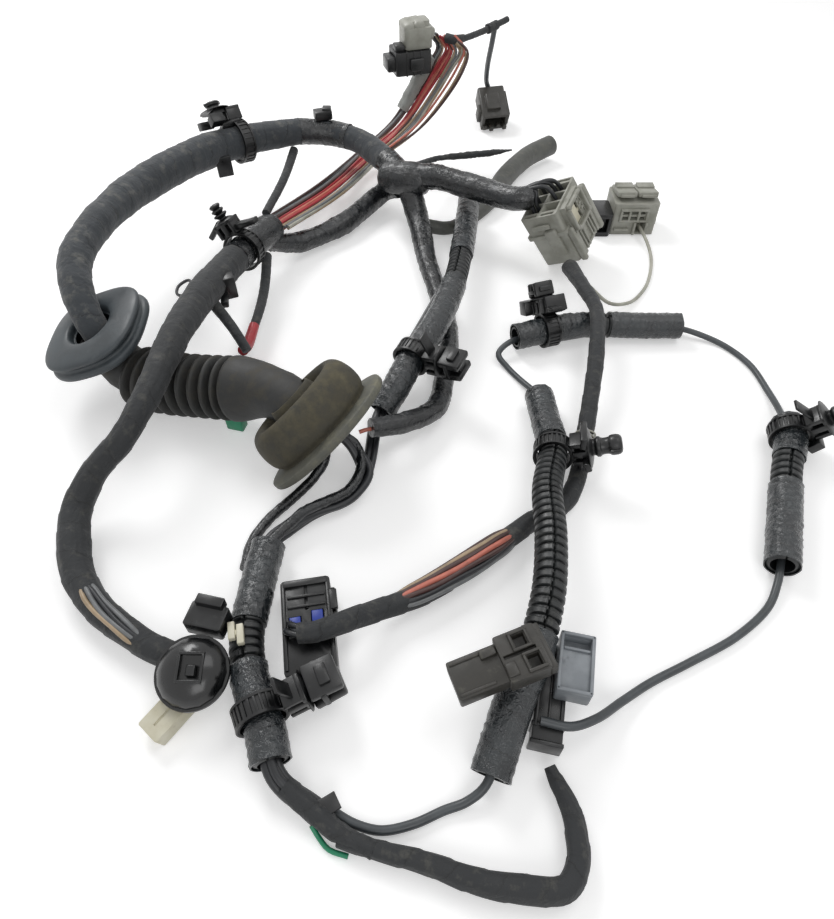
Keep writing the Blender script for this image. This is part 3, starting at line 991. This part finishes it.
def pushHead(bm, kind, w, head, tall):  # washer and head along local Z
    washer = [(0, 1.2), (w * 0.45, 1.2), (w * 0.8, 0.5), (w, 0), (w, 0.5), (w * 0.8, 1.2), (w * 0.45, 2),
              (0, 2.2)]
    turned(bm, roundOff(washer, 1), 36)
    if kind == "capsule":  # a thick blunt peg with two collars and a slit
        turned(bm, roundOff([(0, 1.6), (head * 0.8, 1.6), (head * 0.8, 3), (head, 3.6), (head, 5.2),
                             (head * 0.8, 5.8), (head * 0.8, tall * 0.6), (head, tall * 0.66),
                             (head, tall * 0.9), (head * 0.7, tall), (0, tall)], 1), 32)
        block(bm, head * 2.3, 1.2, tall * 0.3, (0, 0, tall * 0.64), 0.2)
    elif kind == "jaws":  # two broad sprung jaws with a core between them
        for side in (-1, 1):
            turn = Matrix.Rotation(radians(5 * side), 4, "X")
            block(bm, head * 2.1, head * 0.62, tall * 0.9, (0, side * head * 0.72, 1.4), 1.0, turn)
            block(bm, head * 1.2, head * 0.4, tall * 0.3, (0, side * head * 1.05, tall * 0.45), 0.5, turn)
        block(bm, head * 1.1, head * 0.9, tall * 0.8, (0, 0, 1.6), 0.7)
        block(bm, head * 2.3, head * 1.5, 2.2, (0, 0, tall * 0.36), 0.6)
    else:  # a fir-tree peg
        rows = [(0, 1.8), (head * 0.55, 1.8)]
        for k in range(3):
            low = 2.4 + k * (tall - 2) / 3
            rows += [(head * 0.5, low), (head * (1.0 - 0.1 * k), low + 1.6), (head * (0.9 - 0.1 * k), low + 2.4),
                     (head * 0.5, low + 2.8)]
        turned(bm, roundOff(rows + [(head * 0.35, tall + 0.6), (0, tall + 0.8)], 1), 32)


def bandClip(name, spec):
    route = routeOf(spec["route"])
    distance = spec["from"] if spec["from"] > 0 else route["length"] + spec["from"]
    place, tangent, _, _ = readRoute(route, np.array([distance]))
    matrix = poseOf(Vector(place[0]), Vector(tangent[0]), spec["side"])
    inner, half = spec["inner"] + 3.4 * gap, band["wide"] / 2
    bm = bmesh.new()
    outer = inner + band["thick"] * 0.6
    turned(bm, [(inner, -half), (outer, -half), (outer, half), (inner, half), (inner, -half)], 48)
    for i in range(band["teeth"]):  # raised ladder bars round the band
        turn = Matrix.Rotation(i * tau / band["teeth"], 4, "Z")
        block(bm, band["thick"] * 0.8, 1.1, band["wide"] - 0.6, (0, 0, 0), 0.2,
              turn @ Matrix.Translation((inner + band["thick"] * 0.5, 0, -half + 0.3)))
    for side in (-1, 1):  # the band's smooth edges
        edge = half - 0.5
        rows = [(inner, -0.5), (outer + 0.6, -0.5), (outer + 0.6, 0.5), (inner, 0.5), (inner, -0.5)]
        turned(bm, [(r, h + side * edge) for r, h in rows], 48)
    start = inner + band["thick"] * 0.4
    deep = band["box"] * 0.7
    cheek = band["box"] / 2 - 0.9
    for side in (-1, 1):  # the box's two cheeks, its floor, its lid and the pawl between
        block(bm, deep, 2.4, band["wide"] + 2, (start + deep / 2, side * cheek, -half - 1), 0.5)
    block(bm, 1.8, band["box"], band["wide"], (start + 0.9, 0, -half), 0.5)
    block(bm, 2.0, band["box"] + 1, band["wide"] + 2, (start + deep - 1, 0, -half - 1), 0.5)
    block(bm, deep - 1, 3.4, band["wide"] + 2.4, (start + deep / 2, 0, -half - 1.2), 0.4)
    tongue = Matrix.Rotation(radians(14), 4, "Z")
    block(bm, 1.4, 16, band["wide"] - 2, (start + 3, band["box"] / 2 + 3, 1 - half), 0.3, tongue)
    lift = spec.get("lift", 0)
    outward = Matrix.Translation((start + deep - 0.4, 0, lift)) @ Matrix.Rotation(pi / 2, 4, "Y")
    head = bmesh.new()
    pushHead(head, spec["kind"], spec["washer"], spec["head"], spec["long"])
    bmesh.ops.transform(head, matrix=outward, verts=head.verts)
    if lift:  # the arm that carries the washer
        block(head, 3, 9, lift + 6, (start + deep - 1.2, 0, -3), 0.6)
    for place, size, angle in spec.get("limbs", ()):
        block(head, *size, place, 0.6, Matrix.Rotation(radians(angle), 4, "Z"))
    bm.from_mesh(meshOf(head, name + "Head", False))
    finishPiece(name, meshOf(bm, name), "blackPlastic", (spec["node"],), 35, matrix)


for name, spec in clips.items():
    bandClip(name, spec)
for name, node, finish, size, soft, place, turn in (
    ("trunkLump", "trunk_upper", "blackPlastic", (12, 8, 6), 0.7, (-66, 163, 47.5), 20),
    ("trunkNub", "trunk_upper", "blackPlastic", (6, 6, 8), 0.7, (-63, 164, 47), 0),
    ("trunkTab", "clip_trunk", "blackPlastic", (10, 2, 13), 0.7, (-127, 109, 33), 24),
    ("leftHolder", "trunk_left", "blackPlastic", (7, 7, 13), 0.7, (-103, -14, 27), 24),
    ("leftHolderArm", "trunk_left", "blackPlastic", (4, 14, 4), 0.7, (-105, -20, 28), 12),
    ("tapeFlag", "conduit_bundle", "blackPlastic", (8, 6, 0.9), 0.7, (-30, -266.5, 6), 30),
    ("trunkHook", "clip_trunk", "blackPlastic", (13, 4, 4), 0.7, (-123, 131, 56), 38),
    ("bootTab", "boot", "greenJacket", (9, 6, 8), 0.8, (-91, -91, 3), -15),
):
    bm = bmesh.new()
    block(bm, *size, soft=soft)
    finishPiece(name, meshOf(bm, name), finish, (node,), 35,
                Matrix.Translation(place) @ Matrix.Rotation(radians(turn), 4, "Z"))
print("clips ready")

# cords
sensorPath = cordPath(leadRoutes["sensorLead"])
topPath = cordPath(leadRoutes["topLead"])
whitePath = cordPath(leadRoutes["whiteLead"])

# table
bm = bmesh.new()
bmesh.ops.create_grid(bm, x_segments=2, y_segments=2, size=4)
floorMesh = meshOf(bm, "table", False)
table = bpy.data.objects.new("table", floorMesh)
bpy.context.collection.objects.link(table)
# plain white paper: matt, and lit a little from itself so that it stays white in the picture
paper, tree = emptyMaterial("whitePaper")
glowLevel = 0.35
glow = add(tree, "Math", {0: seenDirectly(tree), 1: glowLevel}, operation="MULTIPLY")
shader = add(tree, "BsdfPrincipled", {
    "Base Color": (0.9, 0.9, 0.9, 1), "Roughness": 0.9, "Emission Color": (1, 1, 1, 1),
    "Emission Strength": glow.outputs[0]})
add(tree, "OutputMaterial", {"Surface": shader.outputs[0]})
floorMesh.materials.append(paper)
